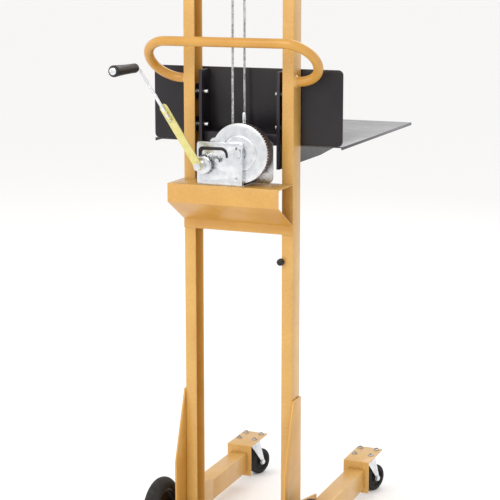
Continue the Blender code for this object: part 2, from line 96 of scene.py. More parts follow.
def start_material(name, colour, roughness, metallic=0.0):
    mat = bpy.data.materials.new(name)
    mat.use_nodes = True
    tree = mat.node_tree
    shader = tree.nodes["Principled BSDF"]
    shader.inputs["Base Color"].default_value = linear(colour)
    shader.inputs["Roughness"].default_value = roughness
    shader.inputs["Metallic"].default_value = metallic
    place = add(tree, "ShaderNodeTexCoord").outputs["Object"]
    return mat, tree, shader, place


def grain(tree, place, size_mm, detail=2.0, stretch=(1, 1, 1)):
    """Noise whose lumps are about size_mm across, drawn out along an axis by stretch."""
    scaled = add(tree, "ShaderNodeMapping", {"Vector": place}, in_Scale=stretch)
    return add(tree, "ShaderNodeTexNoise", {"Vector": scaled.outputs["Vector"]}, in_Scale=1 / (size_mm * MM),
               in_Detail=detail)


def mix_colours(tree, factor, low, high, dark, light):
    """Turn a pattern's value into a colour between two hex colours."""
    ramp = add(tree, "ShaderNodeValToRGB", {"Fac": factor})
    ramp.color_ramp.elements[0].position = low
    ramp.color_ramp.elements[0].color = linear(dark)
    ramp.color_ramp.elements[1].position = high
    ramp.color_ramp.elements[1].color = linear(light)
    return ramp.outputs["Color"]


def spread(tree, factor, low, high):
    """Map a pattern from 0..1 to a range of values."""
    return add(tree, "ShaderNodeMapRange", {"Value": factor}, in_To_Min=low, in_To_Max=high).outputs["Result"]


def relief(tree, shader, height, depth_mm, strength=1.0):
    bump = add(tree, "ShaderNodeBump", {"Height": height}, in_Strength=strength, in_Distance=depth_mm * MM)
    tree.links.new(bump.outputs["Normal"], shader.inputs["Normal"])


# %% [markdown]
# ## Enamel
#
# The frame is sprayed with amber enamel and baked. Spraying leaves "orange peel", shallow lumps about 2 mm
# across, and a gloss that is a little uneven. Handling wears a thin line of lighter paint along edges,
# which the Pointiness value of the geometry finds. The carriage has the same enamel in black, and the deck
# a glossier coat.


# %% Sprayed enamel in two colours
# A Mix node has sockets of the same names for numbers and for colours, so the colour ones go by number.
MIX_COLOUR_A, MIX_COLOUR_B, MIX_COLOUR_RESULT = 6, 7, 2


def sprayed_enamel(name, dark, light, worn, roughness, coat):
    mat, tree, shader, place = start_material(name, light, roughness)
    clouds = grain(tree, place, 90, 3.0).outputs["Fac"]
    paint = mix_colours(tree, clouds, 0.35, 0.65, dark, light)
    edge = add(tree, "ShaderNodeNewGeometry").outputs["Pointiness"]
    rubbed = add(tree, "ShaderNodeMapRange", {"Value": edge}, in_From_Min=0.54, in_From_Max=0.60)
    scuffs = grain(tree, place, 6, 4.0).outputs["Fac"]
    wear = add(tree, "ShaderNodeMath", {0: rubbed.outputs["Result"], 1: scuffs}, operation="MULTIPLY")
    blend = add(tree, "ShaderNodeMix", {"Factor": wear.outputs[0]}, data_type="RGBA")
    tree.links.new(paint, blend.inputs[MIX_COLOUR_A])
    blend.inputs[MIX_COLOUR_B].default_value = linear(worn)
    tree.links.new(blend.outputs[MIX_COLOUR_RESULT], shader.inputs["Base Color"])
    gloss = grain(tree, place, 35, 3.0).outputs["Fac"]
    tree.links.new(spread(tree, gloss, roughness - 0.06, roughness + 0.10), shader.inputs["Roughness"])
    relief(tree, shader, grain(tree, place, 2.2).outputs["Fac"], 0.05, 0.35)
    shader.inputs["Coat Weight"].default_value = coat
    shader.inputs["Coat Roughness"].default_value = 0.12
    return mat


amber_enamel = sprayed_enamel("amber_sprayed_enamel", "#C08A38", "#C99642", "#DDBF80", 0.34, 0.22)
# Painted sheen: the black's purple tint and lifted tone stand in for the purple-grey reflection on the back plate.
black_paint_sheen_tinted = sprayed_enamel("black_paint_with_painted_sheen", "#141116", "#1C181E", "#3C3742", 0.32, 0.0)

black_paint_sheen_tinted.node_tree.nodes["Principled BSDF"].inputs["Specular IOR Level"].default_value = 0.40
# Painted reflection: the deck's purple tint stands in for the tone of its glancing reflection.
deck_paint_reflection_tinted = sprayed_enamel("black_deck_paint_reflection_tint", "#17141A", "#1E1A22", "#4A4550", 0.30, 0.28)
print("enamels:", amber_enamel.name, black_paint_sheen_tinted.name, deck_paint_reflection_tinted.name)

# %% [markdown]
# ## Plated and bare steel
#
# Zinc plating on pressed steel is bright and slightly blue, with cloudy patches where the bath left it
# duller. The crank's flat bar is passivated in yellow, which gives a pale green-gold film that varies in
# thickness. Machined steel has fine marks that run round the piece, drawn here 0.6 mm apart so that they
# show.


# %% Zinc, passivated zinc and machined steel
def plated_zinc(name, dark, light, roughness):
    mat, tree, shader, place = start_material(name, light, roughness, 0.92)
    clouds = grain(tree, place, 16, 3.0).outputs["Fac"]
    tree.links.new(mix_colours(tree, clouds, 0.30, 0.70, dark, light), shader.inputs["Base Color"])
    tree.links.new(spread(tree, clouds, roughness + 0.06, roughness - 0.05), shader.inputs["Roughness"])
    relief(tree, shader, grain(tree, place, 3.0).outputs["Fac"], 0.02, 0.15)
    return mat


bright_zinc = plated_zinc("bright_zinc_plating", "#CDD0D5", "#E4E7EB", 0.26)
yellow_zinc = plated_zinc("yellow_passivated_zinc", "#CDC47C", "#DAD391", 0.42)
yellow_zinc.node_tree.nodes["Principled BSDF"].inputs["Metallic"].default_value = 0.45

machined_steel, tree, shader, place = start_material("machined_steel", "#A9ABAE", 0.32, 1.0)
marks = grain(tree, place, 0.6, 3.0, (1, 6, 1)).outputs["Fac"]
tree.links.new(mix_colours(tree, marks, 0.3, 0.7, "#7E8084", "#B9BBBE"), shader.inputs["Base Color"])
tree.links.new(spread(tree, marks, 0.26, 0.44), shader.inputs["Roughness"])
relief(tree, shader, marks, 0.04, 0.4)

# %% [markdown]
# ## Rubber, moulded plastic and rope wire
#
# Solid rubber tyres are dull, with dust in a fine grain. The crank's grip and the stop knob are moulded
# ABS, with an even texture about 0.8 mm across. The rope's wires are galvanised steel with a trace of
# grease between the strands.

# %% Rubber, plastic and wire
solid_rubber, tree, shader, place = start_material("solid_tyre_rubber", "#151414", 0.78)
dust = grain(tree, place, 14, 5.0).outputs["Fac"]
tree.links.new(mix_colours(tree, dust, 0.35, 0.75, "#121111", "#2B2927"), shader.inputs["Base Color"])
relief(tree, shader, grain(tree, place, 1.5, 4.0).outputs["Fac"], 0.15, 0.5)

moulded_abs, tree, shader, place = start_material("moulded_black_abs", "#0D0D0F", 0.42)
pores = grain(tree, place, 0.8, 2.0).outputs["Fac"]
tree.links.new(spread(tree, pores, 0.36, 0.52), shader.inputs["Roughness"])
relief(tree, shader, pores, 0.06, 0.5)

rope_wire, tree, shader, place = start_material("galvanised_rope_wire", "#B4B7BA", 0.38, 0.85)
grease = grain(tree, place, 5, 3.0).outputs["Fac"]
tree.links.new(mix_colours(tree, grease, 0.3, 0.6, "#85888B", "#C6C9CC"), shader.inputs["Base Color"])
print("materials:", len(bpy.data.materials))

# %% [markdown]
# ## Softening the edges of sheet and bar
#
# Real steel never ends in a perfect edge: shears and saws round it by a fraction of a millimetre, and paint
# rounds it more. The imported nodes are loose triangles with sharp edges. A copy of each is merged and its
# flat faces are joined again, and a Bevel modifier then rounds the edges. The copy replaces the node and
# rides on the same body.


# %% Copy a node with rounded edges
def finished(obj, body, mat, *replaced, slot=None):
    """Give a piece its material and its body, and say which nodes it stands for."""
    obj.data.materials.clear()
    obj.data.materials.append(mat)
    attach(obj, body)
    if replaced:
        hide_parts(*replaced)
    return obj


def object_from(name, bm):
    """Turn a bmesh into an object in the scene."""
    mesh = bpy.data.meshes.new(name)
    bm.to_mesh(mesh)
    bm.free()
    obj = bpy.data.objects.new(name, mesh)
    scene.collection.objects.link(obj)
    return obj


def merged(obj):
    """Join the points of a mesh that lie together, and turn its faces outwards."""
    bm = bmesh.new()
    bm.from_mesh(obj.data)
    bmesh.ops.remove_doubles(bm, verts=bm.verts, dist=0.000005)
    bmesh.ops.recalc_face_normals(bm, faces=bm.faces)
    bm.to_mesh(obj.data)
    bm.free()
    return obj


def plain_mesh(obj):
    """Turn an object with modifiers or curves into a plain mesh in world space, at the origin."""
    bpy.context.view_layer.update()
    evaluated = obj.evaluated_get(bpy.context.evaluated_depsgraph_get())
    mesh = bpy.data.meshes.new_from_object(evaluated)
    mesh.transform(obj.matrix_world)
    name = obj.name
    bpy.data.objects.remove(obj)
    mesh.name = name
    made = bpy.data.objects.new(name, mesh)
    scene.collection.objects.link(made)
    return made


def shade(obj, degrees=35):
    obj.data.shade_smooth()
    obj.data.set_sharp_from_angle(angle=math.radians(degrees))
    return obj


def softened(node, body, mat, width_mm, segments=2):
    bm = bmesh.new()
    bm.from_mesh(nodes[node].data)
    bmesh.ops.remove_doubles(bm, verts=bm.verts, dist=0.00002)
    bmesh.ops.dissolve_limit(bm, angle_limit=math.radians(1), verts=bm.verts, edges=bm.edges)
    obj = object_from(node + "_finished", bm)
    bevel = obj.modifiers.new("edge", "BEVEL")
    bevel.width = width_mm * MM
    bevel.segments = segments
    bevel.limit_method = "ANGLE"
    bevel.angle_limit = math.radians(40)
    bevel.use_clamp_overlap = True
    return finished(shade(plain_mesh(obj)), body, mat, node, slot=node)


def body_of(node):
    return next(name for name, members in frame["record"]["behaviour"]["bodies"].items() if node in members)


EDGES_MM = {"head_crossbar": 2.0, "base_crossmember": 2.0, "winch_shelf": 1.2, "sheave_bracket": 1.0,
            "left_upright": 1.6, "right_upright": 1.6, "left_side_plate": 1.2, "right_side_plate": 1.2,
            "left_leg": 1.0, "right_leg": 1.0, "left_toe_bracket": 1.2, "right_toe_bracket": 1.2}
for node, width in EDGES_MM.items():
    softened(node, body_of(node), amber_enamel, width)
softened("platform", "carriage", deck_paint_reflection_tinted, 1.0)
for node in ("back_plate", "carriage_beam", "left_carriage_arm", "right_carriage_arm"):
    softened(node, "carriage", black_paint_sheen_tinted, 1.0)
for node in ("left_caster_plate", "right_caster_plate"):
    softened(node, body_of(node), bright_zinc, 0.8)
PLATED = {"crank_bar": yellow_zinc, "main_gear": bright_zinc}
for node in ("crank_bar", "main_gear", "pinion", "ratchet_wheel", "pawl"):
    softened(node, body_of(node), PLATED.get(node, machined_steel), 0.8 if node == "crank_bar" else 0.2, 1)

# %% [markdown]
# ## Round bars and pins
#
# Shafts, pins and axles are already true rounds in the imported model, with only a few sides. Smooth shading
# hides the sides on a small pin, and a narrow bevel catches the light at its end. The carriage's rollers
# get the same.

# %% Shafts, pins and rollers
ROUND_BARS = [n for n in nodes if n.endswith(("_shaft", "_axle", "_pin", "_roller"))]
for node in ROUND_BARS:
    zinc = node.endswith("_roller_pin")
    softened(node, body_of(node), bright_zinc if zinc else machined_steel, 0.6)
print("round bars:", len(ROUND_BARS))

# %% [markdown]
# ## Turned pieces
#
# Tyres, hubs, the drum and the grip are turned or moulded round an axis, so each is one profile spun in
# many steps. A profile is a list of (radius, distance along the axis) points that closes on itself. The
# smooth crown of a tyre is an arc, worked out by a loop.


# %% Spin a profile about an axis
def turned(name, profile, centre, axis, steps=96):
    """Spin a closed profile about an axis through a centre. The mesh is left in world space."""
    along = Vector(axis).normalized()
    across = along.orthogonal().normalized()
    other = along.cross(across)
    bm = bmesh.new()
    rows = []
    for i in range(steps):
        a = 2 * math.pi * i / steps
        out = across * math.cos(a) + other * math.sin(a)
        rows.append([bm.verts.new(Vector(centre) + out * r + along * h) for r, h in profile])
    count = len(profile)
    for i in range(steps):
        here, there = rows[i], rows[(i + 1) % steps]
        for j in range(count):
            k = (j + 1) % count
            bm.faces.new((here[j], here[k], there[k], there[j]))
    bmesh.ops.recalc_face_normals(bm, faces=bm.faces)
    obj = object_from(name, bm)
    return shade(obj, 30)


def arc(cx, cy, radius, start, end, count=10):
    """Points of an arc between two angles in degrees."""
    turns = [math.radians(start + (end - start) * i / count) for i in range(count + 1)]
    return [(cx + radius * math.cos(t), cy + radius * math.sin(t)) for t in turns]


def middle(node):
    low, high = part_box(node)
    return (low + high) / 2


# %% Rear tyres and hubs
for side, sign in SIDES:
    low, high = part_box(f"{side}_rear_tyre")
    centre = (low + high) / 2
    outward = (sign, 0, 0)
    radius = (high.z - low.z) / 2
    half = (high.x - low.x) / 2
    rim = radius - 0.029
    crown = arc(radius - half, 0, half, 75, -75, 16)
    shoulder = [(rim + 0.006, -half * 0.97), (rim + 0.0003, -half * 0.85), (rim + 0.0003, half * 0.85),
                (rim + 0.006, half * 0.97)]
    tyre = turned(f"{side}_tyre_crowned", crown + shoulder, centre, outward)
    finished(tyre, f"{side}_rear_wheel", solid_rubber, f"{side}_rear_tyre", slot=f"{side}_rear_tyre")
    bore = 0.0093
    boss = 0.1526 - abs(centre.x)
    hub = [(rim, -half * 0.8), (rim, half * 0.8), (rim - 0.003, half * 0.86), (rim - 0.006, half * 0.8)]
    hub += arc(rim - 0.014, 0.014, 0.008, 0, -90, 5) + [(0.026, 0.006)] + arc(0.026, 0.012, 0.006, 270, 180, 4)
    hub += [(0.020, half * 0.95), (0.018, half), (bore, half), (bore, boss), (0.016, boss),
            (0.018, boss + 0.002)]
    hub += [(0.018, -0.010)] + arc(0.024, -0.012, 0.006, 180, 90, 4) + arc(rim - 0.014, -0.014, 0.008, 90, 0, 5)
    hub += [(rim - 0.006, -half * 0.8), (rim - 0.003, -half * 0.86)]
    finished(turned(f"{side}_hub_pressed", hub, centre, outward), f"{side}_rear_wheel", black_paint_sheen_tinted,
             f"{side}_rear_hub", slot=f"{side}_rear_hub")
    collar = [(bore, half + 0.0004), (0.013, half + 0.0004), (0.0142, half + 0.0015), (0.0142, half + 0.005),
              (0.013, half + 0.006), (bore, half + 0.006)]
    finished(turned(f"{side}_axle_collar", collar, centre, outward, 48), "frame", bright_zinc, slot="rear_axle")
print("rear wheel diameter:", round(2 * radius, 4))

# %% [markdown]
# ## Casters
#
# A caster's fork is pressed from one sheet: a square crown under the swivel race and two cheeks that narrow
# down to the axle. Each cheek is drawn flat as a tapered outline in the wheel's own plane, and then given
# its thickness. The wheel is a solid tyre on a recessed hub.


# %% Front wheels and pressed forks
def cheek(name, outline, start, thickness, centre, across, forward):
    """A flat plate in the wheel's plane. Its outline holds (forward, height), and start is its place along
    the axle."""
    bm = bmesh.new()
    layers = []
    for offset in (start, start + thickness):
        places = [Vector((centre.x, centre.y, z)) + forward * f + across * offset for f, z in outline]
        layers.append([bm.verts.new(place) for place in places])
    bm.faces.new(layers[0])
    bm.faces.new(layers[1])
    for i in range(len(outline)):
        j = (i + 1) % len(outline)
        bm.faces.new((layers[0][i], layers[0][j], layers[1][j], layers[1][i]))
    bmesh.ops.recalc_face_normals(bm, faces=bm.faces)
    rims = [edge for edge in bm.edges if edge.calc_face_angle(0) > 1.0]
    bmesh.ops.bevel(bm, geom=rims, offset=0.0004, segments=1, affect="EDGES")
    obj = object_from(name, bm)
    return shade(obj)


joints = {joint["name"]: joint for joint in frame["joints"]}
WHEEL, HALF, FORK = 0.0375, 0.0125, 0.0165
SHEET_FORK = 0.0025
for side, sign in SIDES:
    joint = joints[f"{side}_front_wheel_roll"]
    hub_point = Vector(joint["pos_m"])
    across = Vector(joint["axis"]).normalized()
    swivel = Vector(joints[f"{side}_caster_swivel"]["pos_m"])
    forward = Vector((hub_point.x - swivel.x, hub_point.y - swivel.y, 0))
    trail = forward.length
    forward.normalize()
    tread = arc(WHEEL - 0.006, HALF - 0.006, 0.006, 90, 0, 5)
    tread += arc(WHEEL - 0.006, 0.006 - HALF, 0.006, 0, -90, 5)
    face = [(0.026, -HALF), (0.024, -0.008), (0.012, -0.008), (0.011, -HALF), (0.0043, -HALF), (0.0043, HALF),
            (0.011, HALF), (0.012, 0.008), (0.024, 0.008), (0.026, HALF)]
    finished(turned(f"{side}_caster_wheel", tread + face, hub_point, across, 72), f"{side}_front_wheel",
             solid_rubber, f"{side}_front_wheel", slot=f"{side}_front_wheel")
    nut = [(0.0001, 0.0222), (0.0065, 0.0222), (0.0075, 0.0212), (0.0075, 0.0182), (0.0001, 0.0182)]
    for name, way in (("nut", 1), ("head", -1)):
        finished(turned(f"{side}_caster_{name}", nut, hub_point, across * way, 6), f"{side}_caster",
                 bright_zinc, slot=f"{side}_caster_axle")
    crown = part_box(f"{side}_caster_fork")[1].z
    taper = [(-0.015, crown), (-0.015, crown - 0.012), (trail - 0.007, hub_point.z + 0.006)]
    taper += [(trail + f, hub_point.z + z) for f, z in arc(0, 0, 0.0085, 140, 400, 12)]
    taper += [(0.024, crown - 0.012), (0.024, crown)]
    for i, start in enumerate((FORK - SHEET_FORK / 2, -FORK - SHEET_FORK / 2)):
        made = cheek(f"{side}_fork_cheek_{i}", taper, start, SHEET_FORK, swivel, across, forward)
        stands_for = [f"{side}_caster_fork"] if i == 0 else []
        finished(made, f"{side}_caster", bright_zinc, *stands_for, slot=f"{side}_caster_fork")
    top_sheet = [(-0.015, crown - SHEET_FORK), (0.024, crown - SHEET_FORK), (0.024, crown), (-0.015, crown)]
    width = 2 * FORK - SHEET_FORK - 0.0002
    top = cheek(f"{side}_fork_crown", top_sheet, -width / 2, width, swivel, across, forward)
    finished(top, f"{side}_caster", bright_zinc, slot=f"{side}_caster_fork")
    race = [(0.0002, -0.0028), (0.012, -0.0028), (0.0135, -0.004), (0.0135, -0.008), (0.010, -0.0105),
            (0.0002, -0.0105)]
    finished(turned(f"{side}_swivel_race", race, (swivel.x, swivel.y, crown), (0, 0, 1), 56),
             f"{side}_caster", bright_zinc, slot=f"{side}_caster_fork")
print("caster trail:", round(trail, 4))

# %% [markdown]
# ## The winch's turned pieces
#
# The drum is a pressed spool. Its near flange is dished behind the gear, which gives the deep rim and the
# ring-shaped groove on its face. Rope lies on the drum in close turns, so the wound rope's outline is a row
# of half circles.

# %% Drum, dished cover, wound rope and sheave
drum_low, drum_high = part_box("winch_drum")
drum = middle("winch_drum")
ALONG = (0, 1, 0)
near, far = drum_low.y - drum.y, drum_high.y - drum.y
SHAFT_BORE = 0.0063
core, flange, bore = 0.024, (drum_high.z - drum_low.z) / 2, SHAFT_BORE
spool = [(bore, near), (flange - 0.001, near), (flange, near + 0.001), (flange, near + 0.002),
         (core + 0.002, near + 0.002), (core, near + 0.004), (core, far - 0.004), (core + 0.002, far - 0.002),
         (flange, far - 0.002), (flange, far - 0.001), (flange - 0.001, far), (bore, far)]
finished(turned("spool", spool, drum, ALONG), "drum", bright_zinc, "winch_drum", slot="winch_drum")
print("spool radius:", round(flange, 4))

# %% Rope wound on the drum
wrap_low, wrap_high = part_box("rope_wraps")
turns = 8
pitch = (wrap_high.y - wrap_low.y) / turns
outer = (wrap_high.z - wrap_low.z) / 2
wound = []
for i in range(turns):
    wound += arc(outer - pitch / 2, wrap_high.y - drum.y - pitch * (i + 0.5), pitch / 2, 80, -80, 6)
wound += [(core + 0.0004, wrap_low.y - drum.y), (core + 0.0004, wrap_high.y - drum.y)]
finished(turned("wound_rope", wound, drum, ALONG, 72), "drum", rope_wire, "rope_wraps", slot="rope_wraps")
print("turns of rope:", turns)

# %% The gear's cover and the drum's flange
gear_low, gear_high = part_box("main_gear")
face = gear_low.y - drum.y
tip = (gear_high.z - gear_low.z) / 2
cover = [(0.0070, face - 0.0022), (0.016, face - 0.0022), (0.0175, face - 0.0034), (0.024, face - 0.0038),
         (0.040, face - 0.0038), (0.0415, face - 0.0028), (0.044, face - 0.0026), (0.0455, face - 0.0038),
         (0.062, face - 0.0038), (0.066, face - 0.0036), (tip - 0.0030, face - 0.0028),
         (tip - 0.0008, face - 0.0022), (tip - 0.0004, face - 0.0016), (tip - 0.0012, face - 0.0013),
         (0.0070, face - 0.0013)]
finished(turned("gear_cover", cover, drum, ALONG, 144), "drum", bright_zinc, slot="main_gear")
back = gear_high.y - drum.y
root = tip - 0.0045
RIM_DEPTH = 0.030
rim = [(root - 0.001, back + 0.0002), (root, back + 0.002), (root, back + RIM_DEPTH),
       (root - 0.0025, back + RIM_DEPTH), (root - 0.0025, back + 0.003), (0.054, back + 0.003), (0.054, back + 0.0002)]
# Painted shade: the flange's black enamel stands in for the shadow that darkens it behind the gear.
finished(turned("flange_painted_shade_black", rim, drum, ALONG, 128), "drum", black_paint_sheen_tinted, slot="winch_drum")
print("cover radius:", round(tip, 4), "rim depth:", RIM_DEPTH)

# %% Sheave
sheave = middle("sheave")
radius = (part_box("sheave")[1].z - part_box("sheave")[0].z) / 2
ROPE_REACH = 0.0365
groove = ROPE_REACH - 0.0033
wheel = [(SHAFT_BORE, -0.008), (radius - 0.001, -0.008), (radius, -0.0072), (radius, -0.0065),
         (groove + 0.002, -0.0034), (groove, -0.0015), (groove, 0.0015), (groove + 0.002, 0.0034),
         (radius, 0.0065), (radius, 0.0072), (radius - 0.001, 0.008), (SHAFT_BORE, 0.008)]
finished(turned("grooved_sheave", wheel, sheave, (1, 0, 0)), "sheave", black_paint_sheen_tinted, "sheave", slot="sheave")

# %% [markdown]
# ## The crank
#
# The crank is a flat bar with a thin rod lying on it, and the rod carries a grip that spins. The grip
# swells towards its free end, so a palm can't slide off. Its skin is smooth, because it spins inside the
# hand.

# %% Grip, brake hub, rod and nuts
grip_low, grip_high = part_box("crank_grip")
grip = middle("crank_grip")
length = grip_high.y - grip_low.y
bore = 0.0043
sleeve = [(bore, length / 2), (0.0085, length / 2), (0.0105, length / 2 - 0.0015), (0.0115, length / 2 - 0.005)]
for i in range(25):
    share = i / 24
    swell = 0.0116 + 0.0024 * share ** 1.5 - 0.0005 * math.sin(math.pi * share)
    sleeve.append((swell, length / 2 - 0.008 - (length - 0.018) * share))
sleeve += arc(0.0100, 0.0048 - length / 2, 0.0040, 0, -80, 8) + [(0.008, -length / 2), (bore, -length / 2)]
finished(turned("swelled_grip", sleeve, grip, ALONG, 64), "grip", moulded_abs, "crank_grip", slot="crank_grip")
print("grip length:", round(length, 4))

# %% Brake hub and nut
crank = Vector(joints["crank_turn"]["pos_m"])
hub_low, hub_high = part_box("brake_hub")
ends = hub_low.y - crank.y, hub_high.y - crank.y
brake = [(SHAFT_BORE, ends[1]), (0.019, ends[1]), (0.021, ends[1] - 0.002), (0.021, ends[1] - 0.0045),
         (0.0185, ends[1] - 0.0055), (0.0185, ends[1] - 0.0075), (0.021, ends[1] - 0.0085),
         (0.021, ends[0] + 0.0165), (0.019, ends[0] + 0.0148), (0.0125, ends[0] + 0.0140),
         (0.012, ends[0] + 0.012), (0.012, ends[0] + 0.0006), (0.0114, ends[0]),
         (SHAFT_BORE, ends[0])]
finished(turned("grooved_brake_hub", brake, crank, ALONG), "crank", bright_zinc, "brake_hub", slot="brake_hub")
bar_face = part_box("crank_bar")[0].y - crank.y
nut = [(0.0001, bar_face - 0.0082), (0.0085, bar_face - 0.0082), (0.0098, bar_face - 0.0072),
       (0.0098, bar_face - 0.0004), (0.0001, bar_face - 0.0004)]
finished(shade(turned("crank_nut", nut, crank, ALONG, 6)), "crank", bright_zinc, slot="crank_shaft")
print("brake hub faces:", [round(end, 4) for end in ends])

# %% The rod's route
rod_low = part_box("crank_rod")[0]
ROD_START = 0.128
arm = Vector((grip.x - crank.x, 0, grip.z - crank.z))
arm_way = arm.normalized()
rod_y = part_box("crank_bar")[0].y - 0.0043
start = Vector((crank.x, rod_y, crank.z)) + arm_way * ROD_START
corner = Vector((grip.x, rod_y, grip.z))
bend = 0.014
route = [start, start.lerp(corner, 0.5)]
for i in range(9):
    a = math.radians(90 * i / 8)
    route.append(corner + arm_way * (bend * math.sin(a) - bend) + Vector((0, bend * math.cos(a) - bend, 0)))
route.append(Vector((grip.x, rod_low.y, grip.z)))


def bar_along(name, points, radius, sides=4):
    """A round bar that follows points, with filled ends."""
    curve = bpy.data.curves.new(name, "CURVE")
    curve.dimensions = "3D"
    curve.bevel_depth = radius
    curve.bevel_resolution = sides
    curve.use_fill_caps = True
    for run in points if isinstance(points[0], list) else [points]:
        spline = curve.splines.new("POLY")
        spline.points.add(len(run) - 1)
        for point, co in zip(spline.points, run):
            point.co = (*co, 1)
        spline.use_smooth = True
    obj = bpy.data.objects.new(name, curve)
    scene.collection.objects.link(obj)
    obj = merged(plain_mesh(obj))
    return shade(obj, 40)


# %% Rod, its cap and its clamps
finished(bar_along("bent_crank_rod", route, 0.0040, 6), "crank", bright_zinc, "crank_rod", slot="crank_rod")
cap = [(0.0001, grip_low.y - grip.y - 0.0028), (0.006, grip_low.y - grip.y - 0.0026),
       (0.0085, grip_low.y - grip.y - 0.0012), (0.0088, grip_low.y - grip.y - 0.0004),
       (0.0001, grip_low.y - grip.y - 0.0004)]
finished(turned("grip_cap", cap, grip, ALONG, 40), "crank", bright_zinc, slot="crank_rod")
for i, along in enumerate((0.134, 0.152)):
    spot = Vector((crank.x, rod_y, crank.z)) + arm_way * along
    band = [(0.0042, -0.0030), (0.0054, -0.0030), (0.0058, -0.0024), (0.0058, 0.0024), (0.0054, 0.0030),
            (0.0042, 0.0030)]
    finished(turned(f"rod_clamp_{i}", band, spot, arm_way, 24), "crank", yellow_zinc, slot="crank_bar")

# %% [markdown]
# ## The push handle
#
# The handle is one length of round tube, bent twice at each end and welded to the outsides of the uprights.
# The route is two half circles in a plane that slopes up to the rear, joined by a straight bar.

# %% Bent handle and its welds
low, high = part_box("push_handle")
tube = 0.012
width = high.x - tube
upright_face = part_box("right_upright")[1].x
top, bottom = high.z - tube * 0.73, low.z + tube * 0.73
rear, front = low.y + tube * 0.73, high.y - tube * 0.73
bend = width - upright_face - 0.006
route = []
for sign in (-1, 1):
    turn = [Vector((sign * upright_face, front, bottom))]
    for i in range(33):
        a = math.pi * i / 32
        share = (1 - math.cos(a)) / 2
        turn.append(Vector((sign * (upright_face + 0.006 + bend * math.sin(a)), front + (rear - front) * share,
                            bottom + (top - bottom) * share)))
    route += turn if sign < 0 else turn[::-1]
handle = bar_along("bent_push_handle", route, tube, 10)
finished(handle, "frame", amber_enamel, "push_handle", slot="push_handle")
for side, sign in SIDES:
    bead = [(tube - 0.001, 0.0), (tube + 0.0040, 0.0), (tube + 0.0030, 0.0022), (tube + 0.0004, 0.0048),
            (tube - 0.001, 0.0048)]
    finished(turned(f"{side}_handle_weld", bead, (sign * upright_face, front, bottom), (sign, 0, 0), 48),
             "frame", amber_enamel, slot="push_handle")

# %% [markdown]
# ## The winch bracket
#
# The bracket is a pressed channel with two walls. The near wall has a flange folded along its right edge
# and carries an arched black strip, a painted shadow that stands for the dark gap between the ratchet's
# cover and the wall. The strip is fixed to the wall and doesn't follow the pawl. A flat curve with its holes
# as inner loops gives a pressed plate at once, and a small bevel on the curve rounds its edges.


# %% A pressed plate from a flat curve
def pressed(name, loops, thickness, y, edge=0.0004):
    """A plate that faces the rear. Loops are lists of (x, z): first the outline, then its holes."""
    curve = bpy.data.curves.new(name, "CURVE")
    curve.dimensions = "2D"
    curve.fill_mode = "BOTH"
    curve.extrude = thickness / 2 - edge
    curve.bevel_depth = edge
    curve.bevel_resolution = 1
    curve.offset = -edge
    for loop in loops:
        spline = curve.splines.new("POLY")
        spline.points.add(len(loop) - 1)
        for point, (x, z) in zip(spline.points, loop):
            point.co = (x, z, 0, 1)
        spline.use_cyclic_u = True
    obj = bpy.data.objects.new(name, curve)
    obj.matrix_world = Matrix.Translation((0, y, 0)) @ Matrix.Rotation(math.pi / 2, 4, "X")
    scene.collection.objects.link(obj)
    obj = merged(plain_mesh(obj))
    return shade(obj)


def rounded(x0, z0, x1, z1, radius):
    loop = []
    for cx, cz, turn in ((x1, z1, 0), (x0, z1, 90), (x0, z0, 180), (x1, z0, 270)):
        inner = (cx - radius if cx == x1 else cx + radius, cz - radius if cz == z1 else cz + radius)
        loop += arc(*inner, radius, turn, turn + 90, 6)
    return loop


def hole(x, z, radius):
    return arc(x, z, radius, 0, 360, 32)[:-1]


def box_between(name, low, high, edge_mm=0.6):
    """A bevelled block between two corners, for flanges and pads."""
    bm = bmesh.new()
    bmesh.ops.create_cube(bm, size=1)
    size = Vector(high) - Vector(low)
    bmesh.ops.scale(bm, vec=size, verts=bm.verts)
    bmesh.ops.translate(bm, vec=(Vector(high) + Vector(low)) / 2, verts=bm.verts)
    bmesh.ops.bevel(bm, geom=list(bm.edges), offset=edge_mm * MM, segments=2, affect="EDGES", profile=0.5)
    obj = object_from(name, bm)
    return shade(obj)


# %% The bracket's walls, base and flanges
low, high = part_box("winch_bracket")
gear_axis = Vector(joints["drum_turn"]["pos_m"])
SHEET = 0.003
near_wall = [rounded(low.x, low.z, high.x, high.z, 0.009), hole(gear_axis.x - 0.004, crank.z - 0.030, 0.0040),
             hole(crank.x, crank.z, 0.0064), hole(0.036, 1.052, 0.0045)]
finished(pressed("winch_near_wall", near_wall, SHEET, low.y + SHEET / 2), "frame", bright_zinc, "winch_bracket",
         slot="winch_bracket")
# Painted shadow: this black strip stands in for the dark gap between the ratchet's cover and the wall.
strip = [(-0.0650, 1.0290), (-0.0650, 1.0440)] + arc(-0.0550, 1.0440, 0.0100, 180, 90, 8)
strip += arc(-0.0060, 1.0360, 0.0180, 90, 0, 10) + [(0.0120, 1.0290), (0.0075, 1.0290)]
strip += arc(-0.0060, 1.0345, 0.0125, 0, 85, 8) + arc(-0.0500, 1.0390, 0.0070, 90, 180, 6) + [(-0.0570, 1.0290)]
made = pressed("painted_shadow_strip", [strip], 0.0016, low.y - 0.0010)
finished(made, "frame", black_paint_sheen_tinted, slot="winch_bracket")
print("near wall and painted shadow strip made")

# %% The far wall and the base
far_wall = [rounded(low.x, low.z, high.x + 0.046, high.z, 0.014), hole(gear_axis.x, gear_axis.z, 0.0064),
            hole(crank.x, crank.z, 0.0064)]
made = pressed("winch_far_wall", far_wall, SHEET, high.y - SHEET / 2)
finished(made, "frame", bright_zinc, slot="winch_bracket")
made = box_between("winch_base", (low.x, low.y + SHEET, low.z), (high.x, high.y - SHEET, low.z + SHEET))
finished(made, "frame", bright_zinc, slot="winch_bracket")
print("far wall and base made")

